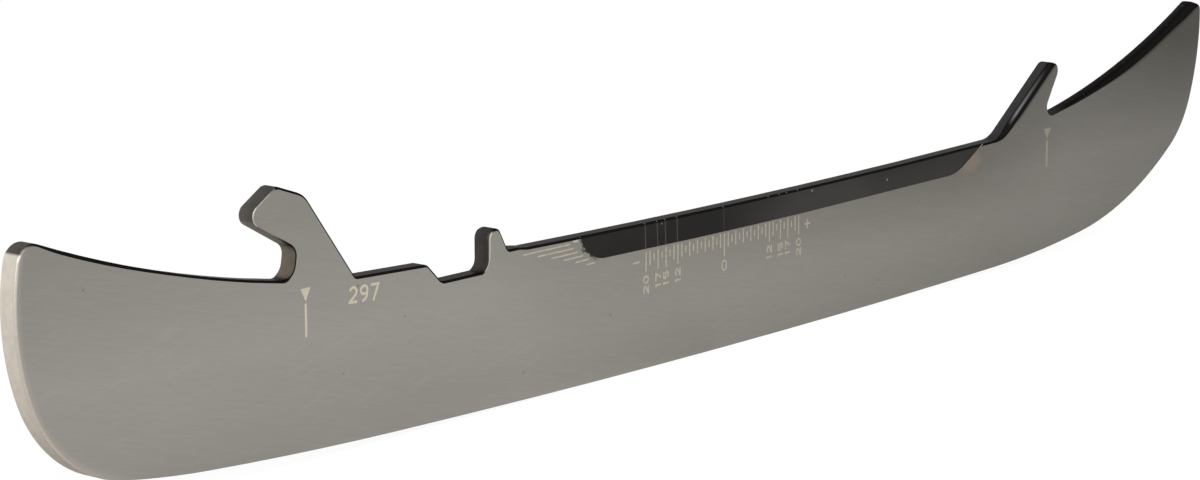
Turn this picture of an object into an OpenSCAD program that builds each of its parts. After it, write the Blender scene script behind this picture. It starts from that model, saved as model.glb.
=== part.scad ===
// Runner of an ice hockey skate: one flat plate of hard stainless steel, seen edge-up in its holder.
// X runs from heel to toe, Y across the thickness, Z up. The marked side faces -Y.
// The origin is half-way along the length, level with the lowest point of the running edge.

/* [Plate] */
// Overall length, heel to toe
blade_length = 297; // [280:1:320]
// Thickness of the steel
steel_t = 2.9; // [2:0.1:4]

/* [Running edge] */
// Radius of the long rocker that touches the ice
rocker_r = 3300; // [2100:50:4000]
// Place of the rocker's lowest point
rocker_low_x = 2; // [-8:0.1:8]
// Radii of the curve that rises to the toe and rounds its tip
toe_radii = [264, 71.4, 18.5, 39.1, 1.85]; // [1.5:0.05:300]
// Angle that each of the toe radii turns through
toe_sweeps = [6.3, 27.1, 31.1, 25.9, 115.5]; // [5:0.1:125]
// Radii of the curve that rises to the heel and rounds its corner
heel_radii = [854, 172, 20.2, 34.7, 2.8]; // [2:0.1:900]
// Angle that each of the heel radii turns through
heel_sweeps = [2.5, 5.3, 59.4, 33, 100]; // [2:0.1:102]

/* [Heel] */
// Radius of the hollow top edge behind the hook
heel_top_r = 232; // [150:1:400]

/* [Rear hook] */
// Place of the lower corner inside the jaw
jaw_x = -97.7; // [-99:0.1:-96.5]
// Height of the lower corner inside the jaw
jaw_z = 26.5; // [25.5:0.1:27.5]
// Radius of the lower corner inside the jaw
jaw_low_r = 2.2; // [1:0.1:2.4]
// Height of the jaw's back wall
jaw_h = 4.45; // [4.2:0.05:5.5]
// How far the jaw's back wall leans forward
jaw_lean = 0.8; // [0.3:0.05:1.4]
// Radius of the upper corner inside the jaw
jaw_high_r = 1.75; // [0.8:0.05:1.8]
// Angle of the nose's underside to the length
nose_under_angle = 29; // [24:0.5:32]
// Angle of the nose's upper side to the length
nose_over_angle = 31; // [27:0.5:34]
// Reach of the sharp nose point, from the jaw's upper corner
nose_reach = 10.05; // [9:0.05:12]
// Radius of the nose
nose_r = 1.6; // [1:0.1:2]
// Length of the nose's upper side along X
nose_over_l = 6.35; // [6:0.05:8]
// Radius of the crest's rear corner
crest_rear_r = 1.2; // [0.8:0.1:2.5]
// Length of the crest along X
crest_l = 5.45; // [5:0.05:7]
// Fall of the crest towards the toe
crest_fall = 1.9; // [1.5:0.1:2.5]
// Radius of the crest's front corner
crest_front_r = 4.4; // [1:0.1:5]
// Angle of the hook's long back to the length
back_angle = 53; // [50:0.5:60]
// Radius at the foot of the hook's back
back_foot_r = 0.8; // [0.4:0.1:1.5]

/* [Seat and latch slot] */
// Height of the seat in front of the hook
seat_z = 25.1; // [24:0.05:26]
// Fall of the seat towards the toe
seat_fall = 0.55; // [0.2:0.05:0.9]
// Place of the seat's front shoulder
shoulder_x = -70; // [-72:0.05:-69]
// Radius of the shoulder and of the hollow below it
shoulder_r = 1.5; // [1:0.1:2.4]
// Angle of the ramp down into the slot
slot_ramp_angle = 44; // [38:1:55]
// Height of the slot's floor
slot_z = 21.5; // [20.5:0.05:22.5]
// Radius at the foot of the post
slot_corner_r = 1.6; // [0.8:0.1:2]
// Place of the post's rear wall
post_x = -56.65; // [-58:0.05:-55]
// Height of the post's top
post_z = 27.65; // [27:0.05:29]
// Width of the post's top
post_w = 2.45; // [2.45:0.05:3.5]
// Radius of the post's rear corner
post_rear_r = 1.6; // [0.6:0.1:1.6]
// Radius of the post's front corner
post_front_r = 1.2; // [0.4:0.1:1.2]
// Angle of the post's front to the length
post_front_angle = 61; // [50:1:70]
// Radius at the foot of the post's front
post_foot_r = 0.8; // [0.4:0.1:1]

/* [Middle edge] */
// Radius of the long middle edge
mid_r = 3000; // [2500:50:4000]
// Place of the middle edge's lowest point
mid_low_x = 14.3; // [5:0.1:25]
// Height of the middle edge's lowest point
mid_z = 23.08; // [22.5:0.01:23.6]
// Height of the land in front of the post
land_z = 24; // [23.9:0.05:24.4]
// Place where the land ends
land_end_x = -49.6; // [-50:0.1:-49]
// Length of the slope from the land down to the middle edge
land_slope_l = 1.9; // [1.5:0.1:3]
// Radius of both bends of the slope
land_r = 1.5; // [0.5:0.1:3]

/* [Front tab and notch] */
// Place of the foot of the tab's ramp
ramp_x = 80.3; // [79:0.1:82]
// Radius at the foot of the ramp
ramp_foot_r = 6.5; // [3:0.5:12]
// Angle of the tab's ramp to the length
ramp_angle = 36.2; // [35:0.1:37.5]
// Radius of the tab's tip
tab_tip_r = 1.6; // [1:0.05:1.8]
// Place of the sharp bottom of the notch
notch_x = 93.6; // [92.9:0.1:94.4]
// Height of the sharp bottom of the notch
notch_z = 25.55; // [25:0.05:26]
// Angle of the notch's rear wall to the length
notch_angle = 57.9; // [56:0.1:59]
// Radius of the notch's bottom
notch_r = 1.7; // [1:0.05:2]

/* [Toe] */
// Radius of the hollow top edge of the toe
toe_top_r = 176; // [140:1:260]

/* [Side relief] */
// Place of the relief's rear end, on the marked side
relief_rear_x = -36; // [-38:0.1:-33]
// Place of the relief's front end, on its lower edge
relief_front_x = 66.6; // [60:0.1:70]
// Height of the relief, from the middle edge down
relief_h = 4.1; // [3:0.05:4.15]
// Depth of the relief at its lower edge
relief_low_depth = 0.06; // [0.05:0.01:0.3]
// Depth of the relief at the middle edge
relief_top_depth = 0.2; // [0.1:0.01:0.8]
// Radius of the relief's rear end
relief_rear_r = 6.5; // [3:0.1:8]
// Angle of the relief's front end to the length
relief_front_angle = 27.5; // [25:0.5:60]
// Radius at the foot of the relief's front end
relief_foot_r = 11; // [2:0.5:13]

/* [Marks] */
// Depth of the marks in the face
mark_depth = 0.05; // [0.03:0.01:0.1]
// Place of the scale's zero line
scale_x = 0.45; // [-2:0.05:2]
// Level of the top of the scale's long and medium lines
scale_z = 18.75; // [18:0.05:18.8]
// Spacing of the scale's lines
scale_pitch = 1; // [0.9:0.05:1.2]
// Number of lines on each side of the zero line
scale_count = 20; // [20:1:22]
// Width of a scale line
line_w = 0.3; // [0.2:0.05:0.4]
// Length of a short scale line
short_l = 1.1; // [0.8:0.05:1.5]
// Length of a medium scale line
medium_l = 2.3; // [1.8:0.05:2.6]
// Length of a long scale line
long_l = 3.2; // [2.8:0.05:3.4]
// Length of the zero line
zero_l = 3.75; // [3.2:0.05:3.8]
// Numbered lines, counted from the zero line
scale_numbers = [12, 15, 17, 20];
// Height of the small figures
figure_h = 1.45; // [1.2:0.05:1.7]
// Width of a small figure, compared with its height
figure_w = 0.96; // [0.75:0.01:0.98]
// Width of the small figures' lines, compared with their height
figure_line = 0.23; // [0.12:0.01:0.23]
// Height of the zero line's figure
zero_figure_h = 1.9; // [1.4:0.1:2.2]
// Height of the length number's figures
length_figure_h = 2.55; // [2:0.05:3]
// Width of a figure of the length number and of the zero, compared with its height
length_figure_w = 0.7; // [0.6:0.01:0.8]
// Width of the lines of the length number and of the zero, compared with their height
length_figure_line = 0.16; // [0.12:0.01:0.18]
// Fall of the length number towards the toe, in degrees
length_tilt = 3; // [0:0.5:4]
// Place of the left end of the length number
length_x = -86.7; // [-87.5:0.1:-84]
// Level of the foot of the length number
length_z = 21.4; // [20.5:0.05:21.6]
// Place of the heel pointer
heel_mark_x = -95.35; // [-96.5:0.05:-94]
// Width of the heel pointer's triangle
heel_mark_w = 2; // [1.5:0.1:2.6]
// Width of the heel pointer's line
heel_mark_line_w = 0.45; // [0.3:0.05:0.7]
// Level of the top of the heel pointer
heel_mark_z = 25.15; // [24:0.05:25.4]
// Place of the toe pointer
toe_mark_x = 95.55; // [95:0.05:98]
// Width of the toe pointer's triangle
toe_mark_w = 2.3; // [1.5:0.1:2.8]
// Width of the toe pointer's line
toe_mark_line_w = 0.7; // [0.4:0.05:0.9]
// Level of the top of the toe pointer
toe_mark_z = 23.9; // [23:0.05:24.2]
// Number of stripes behind the relief
stripe_count = 6; // [4:1:6]
// Spacing of the stripes
stripe_pitch = 0.75; // [0.6:0.01:0.9]
// Width of a stripe
stripe_w = 0.25; // [0.15:0.05:0.35]
// Level of the top stripe
stripe_z = 22.7; // [22.3:0.05:22.9]
// Place of the top stripe's rear end
stripe_x = -49; // [-50:0.1:-48]

/* [Hidden] */
half_l = blade_length / 2;
steel_color = [0.55, 0.53, 0.49];
mark_color = [0.78, 0.72, 0.6];
arc_turn = 12;
arc_error = 0.01;
corner_room = 2.8;
cut_margin = 6;
stripe_rear_step = 3.35;
stripe_rear_bend = 0.08;
stripe_front_step = 0.75;
stripe_front_bend = 0.09;
stripe_lean = 0.4;
stripe_relief_gap = 1.8;
pointer_h = 1.95;
pointer_gap = 0.3;
pointer_line_l = 4.8;
sign_offset = 2.4;
sign_w = 1.7;
plus_drop = 0.3;
figure_gap = 0.55;

// Plain figures are one unit high, and the 1 is narrower than the others
figure_space = 0.18;
one_share = 0.5;
one_flag = [-0.2, 0.78];
two_bow = 0.34;
two_turn = [165, -35];
three_rings = [[0.73, 0.27], [0.29, 0.29]];
three_turns = [[150, -90], [90, -150]];
four_bar_z = 0.28;
four_reach = 0.18;
five_lean = 0.05;
five_waist_z = 0.58;
five_bowl_z = 0.34;
five_turn = [95, -150];
seven_lean = 0.1;
eight_rings = [[0.74, 0.26], [0.29, 0.29]];
nine_ring = 0.31;
nine_gap_turn = 345;
nine_tail_z = 0.52;
nine_tail_turn = [-20, -75];

// Direction at an angle, and the turn of a vector to the left
function toward(a) = [cos(a), sin(a)];
function unit(v) = v / norm(v);
function left_of(v) = [-v[1], v[0]];

// Where a line through p at angle a meets a line through q at angle b
function meet(p, a, q, b) = p + toward(a) * cross(q - p, toward(b)) / cross(toward(a), toward(b));

// Number of straight steps that follow an arc closely enough
function arc_steps(r, turn) = ceil(abs(turn) / min(arc_turn, 2 * acos(1 - arc_error / r)));

// Points of a fillet of radius r at corner b between a and c
function fillet(a, b, c, r) =
  let (
    u = unit(a - b),
    w = unit(c - b),
    half = acos(u * w) / 2,
    centre = b + unit(u + w) * r / sin(half),
    first = b + u * r / tan(half) - centre,
    start = atan2(first[1], first[0]),
    turn = (180 - 2 * half) * sign(cross(b - a, c - b)),
    steps = arc_steps(r, turn)
  )
  [for (i = [0:steps]) centre + r * toward(start + turn * i / steps)];

function flat(p) = [p[0], p[1]];

// A closed outline from corners [x, z, radius], where radius 0 is a plain point
function rounded(corners) =
  let (n = len(corners))
  [
    for (i = [0:n - 1])
      let (a = flat(corners[(i + n - 1) % n]), b = flat(corners[i]), c = flat(corners[(i + 1) % n]))
      each (corners[i][2] > 0 ? fillet(a, b, c, corners[i][2]) : [b])
  ];

// Plain points between p and q on an arc of radius r, clear of the corners' own radii
function hollow(p, q, r, corner_p = 0, corner_q = 0) =
  let (
    half = (q - p) / 2,
    centre = (p + q) / 2 + (half[0] > 0 ? 1 : -1) * left_of(unit(half)) * sqrt(r * r - half * half),
    a = atan2(p[1] - centre[1], p[0] - centre[0]),
    b = atan2(q[1] - centre[1], q[0] - centre[0]),
    steps = arc_steps(r, b - a)
  )
  [
    for (i = [1:steps - 1])
      let (v = centre + r * toward(a + (b - a) * i / steps))
      if (norm(v - p) > corner_room * corner_p && norm(v - q) > corner_room * corner_q) [each v, 0]
  ];

// Height on an arc of radius r whose lowest point is [low_x, low_z]
function arc_z(x, r, low_x, low_z) = low_z + r - sqrt(r * r - pow(x - low_x, 2));

// The running edge ends in a chain of tangent arcs, which starts on the rocker.
// Angles are counted from the length, and x runs outwards from the middle.
function rocker_heading(x, low_x) = asin((x - low_x) / rocker_r);
function chain_reach(h, radii, sweeps, i = 0) =
  i == len(radii) ? 0 :
  let (own = radii[i] * (sin(min(h + sweeps[i], 90)) - sin(min(h, 90))))
  own + chain_reach(h + sweeps[i], radii, sweeps, i + 1);
function chain_start(low_x, radii, sweeps, rounds = 5) =
  rounds == 0 ? half_l / 2 :
  let (x = chain_start(low_x, radii, sweeps, rounds - 1))
  half_l - chain_reach(rocker_heading(x, low_x), radii, sweeps);
function chain_points(p, h, radii, sweeps, i = 0) =
  i == len(radii) ? [] :
  let (
    centre = p + radii[i] * toward(h + 90),
    steps = arc_steps(radii[i], sweeps[i]),
    arc = [for (k = [1:steps]) centre + radii[i] * toward(h - 90 + sweeps[i] * k / steps)]
  )
  concat(arc, chain_points(arc[steps - 1], h + sweeps[i], radii, sweeps, i + 1));
function end_curve(low_x, radii, sweeps) =
  let (x = chain_start(low_x, radii, sweeps))
  chain_points([x, arc_z(x, rocker_r, low_x, 0)], rocker_heading(x, low_x), radii, sweeps);

// Running edge from the heel to the toe
rocker_heel_x = -chain_start(-rocker_low_x, heel_radii, heel_sweeps);
rocker_toe_x = chain_start(rocker_low_x, toe_radii, toe_sweeps);
rocker_steps = arc_steps(rocker_r, (rocker_toe_x - rocker_heel_x) / rocker_r * 180 / PI);
heel_curve = end_curve(-rocker_low_x, heel_radii, heel_sweeps);
toe_curve = end_curve(rocker_low_x, toe_radii, toe_sweeps);
running_edge = [
  for (i = [len(heel_curve) - 1:-1:0]) [-heel_curve[i][0], heel_curve[i][1], 0],
  for (i = [0:rocker_steps])
    let (x = rocker_heel_x + (rocker_toe_x - rocker_heel_x) * i / rocker_steps)
    [x, arc_z(x, rocker_r, rocker_low_x, 0), 0],
  for (p = toe_curve) [p[0], p[1], 0]
];

// Sharp corners of the top edge, before they are rounded
toe_tip = toe_curve[len(toe_curve) - 1];
heel_tip = let (p = heel_curve[len(heel_curve) - 1]) [-p[0], p[1]];
notch_corner = [notch_x, notch_z];
ramp_corner = [ramp_x, arc_z(ramp_x, mid_r, mid_low_x, mid_z)];
tab_corner = meet(ramp_corner, ramp_angle, notch_corner, notch_angle);
slope_foot_x = land_end_x + land_slope_l;
slope_foot = [slope_foot_x, arc_z(slope_foot_x, mid_r, mid_low_x, mid_z)];
post_rear = [post_x, post_z];
post_front = [post_x + post_w, post_z];
post_foot = meet(post_front, -post_front_angle, [0, land_z], 0);
shoulder = [shoulder_x, seat_z - seat_fall];
slot_rear = meet(shoulder, -slot_ramp_angle, [0, slot_z], 0);
jaw_low = [jaw_x, jaw_z];
jaw_high = jaw_low + [jaw_lean, jaw_h];
nose = jaw_high + nose_reach * [-1, tan(nose_under_angle)];
crest_rear = nose + nose_over_l * [1, tan(nose_over_angle)];
crest_front = crest_rear + [crest_l, -crest_fall];
back_foot = meet(crest_front, -back_angle, [0, seat_z], 0);

function corner(p, r) = [p[0], p[1], r];
top_edge = concat(
  hollow(toe_tip, notch_corner, toe_top_r, 0, notch_r),
  [corner(notch_corner, notch_r), corner(tab_corner, tab_tip_r), corner(ramp_corner, ramp_foot_r)],
  hollow(ramp_corner, slope_foot, mid_r, ramp_foot_r, land_r),
  [corner(slope_foot, land_r), [land_end_x, land_z, land_r], corner(post_foot, post_foot_r)],
  [corner(post_front, post_front_r), corner(post_rear, post_rear_r)],
  [[post_x, slot_z, slot_corner_r], corner(slot_rear, shoulder_r), corner(shoulder, shoulder_r)],
  [corner(back_foot, back_foot_r), corner(crest_front, crest_front_r)],
  [corner(crest_rear, crest_rear_r), corner(nose, nose_r)],
  [corner(jaw_high, jaw_high_r), corner(jaw_low, jaw_low_r)],
  hollow(jaw_low, heel_tip, heel_top_r, jaw_low_r, 0)
);

// Turns a flat drawing in X and Z into a sheet between two levels of Y
module sheet(y_low, y_high) {
  translate([0, y_high, 0])
    rotate([90, 0, 0])
      linear_extrude(y_high - y_low)
        children();
}

module mark() {
  color(mark_color)
    sheet(-steel_t / 2, mark_depth - steel_t / 2)
      children();
}

// The hollowed band below the middle edge, on the marked side only
module relief() {
  lean = atan((relief_top_depth - relief_low_depth) / relief_h);
  low_z = mid_z - relief_h;
  rear = [relief_rear_x, arc_z(relief_rear_x, mid_r, mid_low_x, low_z)];
  front = [relief_front_x, arc_z(relief_front_x, mid_r, mid_low_x, low_z)];
  above = mid_z + cut_margin;
  front_above = meet(front, relief_front_angle, [0, above], 0);
  intersection() {
    sheet(-steel_t / 2 - cut_margin, 0)
      polygon(rounded(concat(
        [[relief_rear_x, above + relief_rear_r, 0], corner(rear, relief_rear_r)],
        hollow(rear, front, mid_r, relief_rear_r, relief_foot_r),
        [corner(front, relief_foot_r), corner(front_above, 0), [front_above[0], above + relief_rear_r, 0]]
      )));
    translate([-half_l, relief_low_depth - steel_t / 2, low_z])
      rotate([-lean, 0, 0])
        translate([0, -2 * cut_margin, -cut_margin])
          cube([blade_length, 2 * cut_margin, 4 * cut_margin]);
  }
}

// Upright line that hangs down from level z
module hanging_line(x, z, length, w = line_w) {
  translate([x - w / 2, z - length])
    square([w, length]);
}

function is_numbered(i) = len([for (n = scale_numbers) if (n == abs(i)) n]) > 0;
scale_lines = [for (i = [-scale_count:scale_count]) if (i != 0) i];

module scale_lines_2d(kind, length) {
  for (i = scale_lines) {
    own_kind = is_numbered(i) ? "long" : (i % 2 == 0 ? "short" : "medium");
    if (own_kind == kind)
      hanging_line(scale_x + i * scale_pitch, scale_z - (kind == "short" ? short_l / 2 : 0), length);
  }
}

// A bent strip of width w along the points, with mitred bends and square ends
function strip_side(points, w, side) = [
  for (i = [0:len(points) - 1])
    let (
      before = unit(points[max(i, 1)] - points[max(i, 1) - 1]),
      after = unit(points[min(i + 1, len(points) - 1)] - points[min(i + 1, len(points) - 1) - 1]),
      across = unit(left_of(before) + left_of(after))
    )
    points[i] + side * across * w / 2 / (across * left_of(before))
];
module strip(points, w) {
  ahead = strip_side(points, w, 1);
  back = strip_side(points, w, -1);
  polygon(concat(ahead, [for (i = [len(back) - 1:-1:0]) back[i]]));
}

function bow(centre, rx, rz, from, to, steps) =
  [
    for (i = [0:steps])
      let (a = from + (to - from) * i / steps)
      centre + [rx * cos(a), rz * sin(a)]
  ];

// Upright ring as wide as two times mid, inset from the cell's edge
function tall_ring(mid, inset) =
  let (end_r = min(mid, 0.5))
  concat(
    bow([mid, 1 - end_r], mid - inset, end_r - inset, 0, 180, 8),
    bow([mid, end_r], mid - inset, end_r - inset, 180, 360, 8)
  );

// One plain figure, w wide with lines of width line
module figure(n, w, line) {
  m = line / 2;
  left = m;
  right = w - m;
  mid = w / 2;
  bow_r = mid - m;
  if (n == 0)
    difference() {
      polygon(tall_ring(mid, 0));
      polygon(tall_ring(mid, line));
    }
  if (n == 1)
    strip([[mid + one_flag[0], one_flag[1]], [mid, 1 - m], [mid, 0]], line);
  if (n == 2) {
    arch = bow([mid, 1 - two_bow], bow_r, two_bow - m, two_turn[0], two_turn[1], 7);
    strip(concat(arch, [[left, m]]), line);
    strip([[0, m], [w, m]], line);
  }
  if (n == 3)
    for (i = [0, 1])
      strip(bow(
        [mid, three_rings[i][0]], bow_r, three_rings[i][1] - m, three_turns[i][0], three_turns[i][1], 7
      ), line);
  if (n == 4) {
    upright = right - four_reach;
    strip([[upright, 1 - m], [left, four_bar_z], [w, four_bar_z]], line);
    strip([[upright, 0], [upright, 1]], line);
  }
  if (n == 5) {
    flag = [[right, 1 - m], [left + five_lean, 1 - m], [left, five_waist_z]];
    bowl = bow([mid, five_bowl_z], bow_r, five_bowl_z - m, five_turn[0], five_turn[1], 7);
    strip(concat(flag, bowl), line);
  }
  if (n == 6)
    translate([w, 1])
      rotate(180)
        figure(9, w, line);
  if (n == 7)
    strip([[0, 1 - m], [right, 1 - m], [mid - seven_lean, 0]], line);
  if (n == 8)
    difference() {
      for (ring = eight_rings)
        polygon(bow([mid, ring[0]], mid, ring[1], 0, 345, 23));
      for (ring = eight_rings)
        polygon(bow([mid, ring[0]], mid - line, ring[1] - line, 0, 345, 23));
    }
  if (n == 9) {
    tail_turn = nine_tail_turn;
    tail = bow([left, nine_tail_z], right - left, nine_tail_z - m / 2, tail_turn[0], tail_turn[1], 4);
    difference() {
      polygon(bow([mid, 1 - nine_ring], mid, nine_ring, 0, nine_gap_turn, 14));
      polygon(bow([mid, 1 - nine_ring], mid - line, nine_ring - line, 0, nine_gap_turn, 14));
    }
    strip(concat([[right, 1 - nine_ring]], tail), line);
  }
}

function digits(number) = number < 10 ? [number] : concat(digits(floor(number / 10)), [number % 10]);
function digit_w(n, w) = n == 1 ? w * one_share : w;
function digits_l(row, w, count) =
  count == 0 ? 0 : digits_l(row, w, count - 1) + digit_w(row[count - 1], w) + figure_space;

module figures(number, w, line) {
  row = digits(number);
  for (i = [0:len(row) - 1])
    translate([digits_l(row, w, i), 0])
      figure(row[i], digit_w(row[i], w), line);
}
function figures_l(number, w) =
  let (row = digits(number))
  digits_l(row, w, len(row)) - figure_space;

// Scale numbers stand on end below their lines and read upwards
module scale_figures_2d(side) {
  for (number = scale_numbers)
    translate([
      scale_x + side * number * scale_pitch + figure_h / 2,
      scale_z - long_l - figure_gap - figures_l(number, figure_w) * figure_h
    ])
      rotate(90)
        scale(figure_h)
          figures(number, figure_w, figure_line);
}

module zero_figure_2d() {
  translate([scale_x - length_figure_w * zero_figure_h / 2, scale_z - zero_l - figure_gap - zero_figure_h])
    scale(zero_figure_h)
      figure(0, length_figure_w, length_figure_line);
}

module signs_2d() {
  reach = scale_count * scale_pitch + sign_offset;
  level = scale_z - short_l - line_w;
  translate([scale_x - reach, level])
    square([sign_w, line_w], center = true);
  translate([scale_x + reach, level - plus_drop]) {
    square([sign_w, line_w], center = true);
    square([line_w, sign_w], center = true);
  }
}

// Stripes in step with the rear end of the relief
module stripes_2d() {
  for (i = [0:stripe_count - 1]) {
    z = stripe_z - i * stripe_pitch;
    rear = stripe_x + stripe_rear_step * i - stripe_rear_bend * i * i;
    front = relief_rear_x - stripe_relief_gap + stripe_front_step * i + stripe_front_bend * i * i;
    polygon([
      [rear, z - stripe_w / 2],
      [front - stripe_lean, z - stripe_w / 2],
      [front, z + stripe_w / 2],
      [rear + stripe_lean, z + stripe_w / 2]
    ]);
  }
}

module length_number_2d() {
  translate([length_x, length_z])
    rotate(-length_tilt)
      scale(length_figure_h)
        figures(blade_length, length_figure_w, length_figure_line);
}

module pointer_2d(x, z, w, own_line_w) {
  polygon([[x - w / 2, z], [x, z - pointer_h], [x + w / 2, z]]);
  hanging_line(x, z - pointer_h - pointer_gap, pointer_line_l, own_line_w);
}

module runner_blade() {
  color(steel_color)
    difference() {
      sheet(-steel_t / 2, steel_t / 2)
        polygon(rounded(concat(running_edge, top_edge)));
      relief();
      scale_short_lines();
      scale_medium_lines();
      scale_long_lines();
      zero_line();
      zero_figure();
      scale_figures_rear();
      scale_figures_front();
      scale_signs();
      stripes();
      length_number();
      heel_pointer();
      toe_pointer();
    }
}

module scale_short_lines() {
  mark()
    scale_lines_2d("short", short_l);
}

module scale_medium_lines() {
  mark()
    scale_lines_2d("medium", medium_l);
}

module scale_long_lines() {
  mark()
    scale_lines_2d("long", long_l);
}

module zero_line() {
  mark()
    hanging_line(scale_x, scale_z, zero_l);
}

module zero_figure() {
  mark()
    zero_figure_2d();
}

module scale_figures_rear() {
  mark()
    scale_figures_2d(-1);
}

module scale_figures_front() {
  mark()
    scale_figures_2d(1);
}

module scale_signs() {
  mark()
    signs_2d();
}

module stripes() {
  mark()
    stripes_2d();
}

module length_number() {
  mark()
    length_number_2d();
}

module heel_pointer() {
  mark()
    pointer_2d(heel_mark_x, heel_mark_z, heel_mark_w, heel_mark_line_w);
}

module toe_pointer() {
  mark()
    pointer_2d(toe_mark_x, toe_mark_z, toe_mark_w, toe_mark_line_w);
}

runner_blade();
scale_short_lines();
scale_medium_lines();
scale_long_lines();
zero_line();
zero_figure();
scale_figures_rear();
scale_figures_front();
scale_signs();
stripes();
length_number();
heel_pointer();
toe_pointer();
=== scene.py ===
import math

import bmesh
import bpy
import mathutils
from mathutils import Matrix, Vector


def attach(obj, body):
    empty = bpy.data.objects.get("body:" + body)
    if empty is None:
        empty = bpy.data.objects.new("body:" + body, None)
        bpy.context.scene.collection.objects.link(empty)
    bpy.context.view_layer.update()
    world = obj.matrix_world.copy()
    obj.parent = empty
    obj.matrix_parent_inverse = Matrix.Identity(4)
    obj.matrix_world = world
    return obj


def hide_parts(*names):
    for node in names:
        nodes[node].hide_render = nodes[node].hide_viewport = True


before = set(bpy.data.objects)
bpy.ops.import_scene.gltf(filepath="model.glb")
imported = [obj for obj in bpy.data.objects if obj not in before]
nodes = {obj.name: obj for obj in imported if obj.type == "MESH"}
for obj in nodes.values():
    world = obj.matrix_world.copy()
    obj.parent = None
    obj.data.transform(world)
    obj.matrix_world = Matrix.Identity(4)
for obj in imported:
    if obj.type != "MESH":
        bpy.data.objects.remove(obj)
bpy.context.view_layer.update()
collection = bpy.context.scene.collection
mm = 0.001


def smooth(low, high, value):
    # soft step from 0 at low to 1 at high
    t = min(max((value - low) / (high - low), 0.0), 1.0)
    return t * t * (3 - 2 * t)


def blend(a, b, share):
    return a + (b - a) * share


def srgb(red, green, blue):
    # an 8-bit screen colour as Blender's linear one
    def channel(c):
        c /= 255
        return c / 12.92 if c <= 0.04045 else ((c + 0.055) / 1.055) ** 2.4
    return channel(red), channel(green), channel(blue), 1.0


class Graph:
    # a node tree, with short ways to add nodes to it
    def __init__(self, tree):
        self.tree = tree
        self.count = 0

    def fill(self, socket, value):
        if isinstance(value, bpy.types.NodeSocket):
            self.tree.links.new(value, socket)
        else:
            socket.default_value = value

    def add(self, kind, inputs=None, **settings):
        node = self.tree.nodes.new(kind)
        node.location = (220 * (self.count % 8), -260 * (self.count // 8))
        self.count += 1
        for name, value in settings.items():
            setattr(node, name, value)
        for name, value in (inputs or {}).items():
            self.fill(node.inputs[name], value)
        return node

    def math(self, operation, a, b=0.0):
        node = self.add("ShaderNodeMath", operation=operation)
        self.fill(node.inputs[0], a)
        self.fill(node.inputs[1], b)
        return node.outputs[0]

    def product(self, *factors):
        total = factors[0]
        for factor in factors[1:]:
            total = self.math("MULTIPLY", total, factor)
        return total

    def mixColor(self, factor, a, b, mode="MIX"):
        # inputs 0, 6 and 7 and output 2 are the node's factor, colours and result
        node = self.add("ShaderNodeMix", data_type="RGBA", blend_type=mode)
        for index, value in ((0, factor), (6, a), (7, b)):
            self.fill(node.inputs[index], value)
        return node.outputs[2]

    def shaded(self, colour, level):
        grey = self.add("ShaderNodeCombineColor", {"Red": level, "Green": level, "Blue": level}).outputs[0]
        return self.mixColor(1.0, colour, grey, "MULTIPLY")

    def ramp(self, value, low, high, outLow=0.0, outHigh=1.0):
        return self.add("ShaderNodeMapRange", {"Value": value, "From Min": low, "From Max": high,
                                               "To Min": outLow, "To Max": outHigh}).outputs[0]

    def span(self, value, ends, outLow=0.0, outHigh=1.0):
        # a ramp between two places in mm
        return self.ramp(value, ends[0] * mm, ends[1] * mm, outLow, outHigh)

    def place(self):
        return self.add("ShaderNodeTexCoord").outputs["Object"]

    def axes(self, vector):
        return self.add("ShaderNodeSeparateXYZ", {"Vector": vector}).outputs

    def noise(self, vector, scale, detail, roughness=0.5):
        return self.add("ShaderNodeTexNoise", {"Vector": vector, "Scale": scale, "Detail": detail,
                                               "Roughness": roughness}).outputs["Fac"]

    def link(self, source, target):
        self.tree.links.new(source, target)


def newGroup(name, inputs, outputs):
    tree = bpy.data.node_groups.new(name, "ShaderNodeTree")
    for label, default in inputs.items():
        socket = tree.interface.new_socket(name=label, in_out="INPUT", socket_type="NodeSocketFloat")
        socket.default_value = default
    for label in outputs:
        tree.interface.new_socket(name=label, in_out="OUTPUT", socket_type="NodeSocketFloat")
    graph = Graph(tree)
    return graph, graph.add("NodeGroupInput").outputs, graph.add("NodeGroupOutput").inputs


def brushedGrainGroup():
    # long fine lines along X, as a belt grinder leaves them, and broad clouds
    inputs = {"Length": 60.0, "Fineness": 4500.0, "Slant": 0.0}
    graph, given, out = newGroup("brushedGrain", inputs, ["Grain", "Cloud"])
    turned = graph.add("ShaderNodeVectorRotate", {"Vector": graph.place(), "Angle": given["Slant"]},
                       rotation_type="Y_AXIS").outputs[0]
    stretch = graph.add("ShaderNodeCombineXYZ", {"X": given["Length"], "Y": given["Fineness"],
                                                 "Z": given["Fineness"]}).outputs[0]
    spread = graph.add("ShaderNodeVectorMath", operation="MULTIPLY")
    graph.link(turned, spread.inputs[0])
    graph.link(stretch, spread.inputs[1])
    cloudPlace = graph.add("ShaderNodeMapping", {"Vector": turned, "Scale": (22.0, 60.0, 70.0)}).outputs[0]
    graph.link(graph.noise(spread.outputs[0], 1.0, 3.0, 0.6), out["Grain"])
    graph.link(graph.noise(cloudPlace, 1.0, 4.0, 0.55), out["Cloud"])
    return graph.tree


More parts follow.
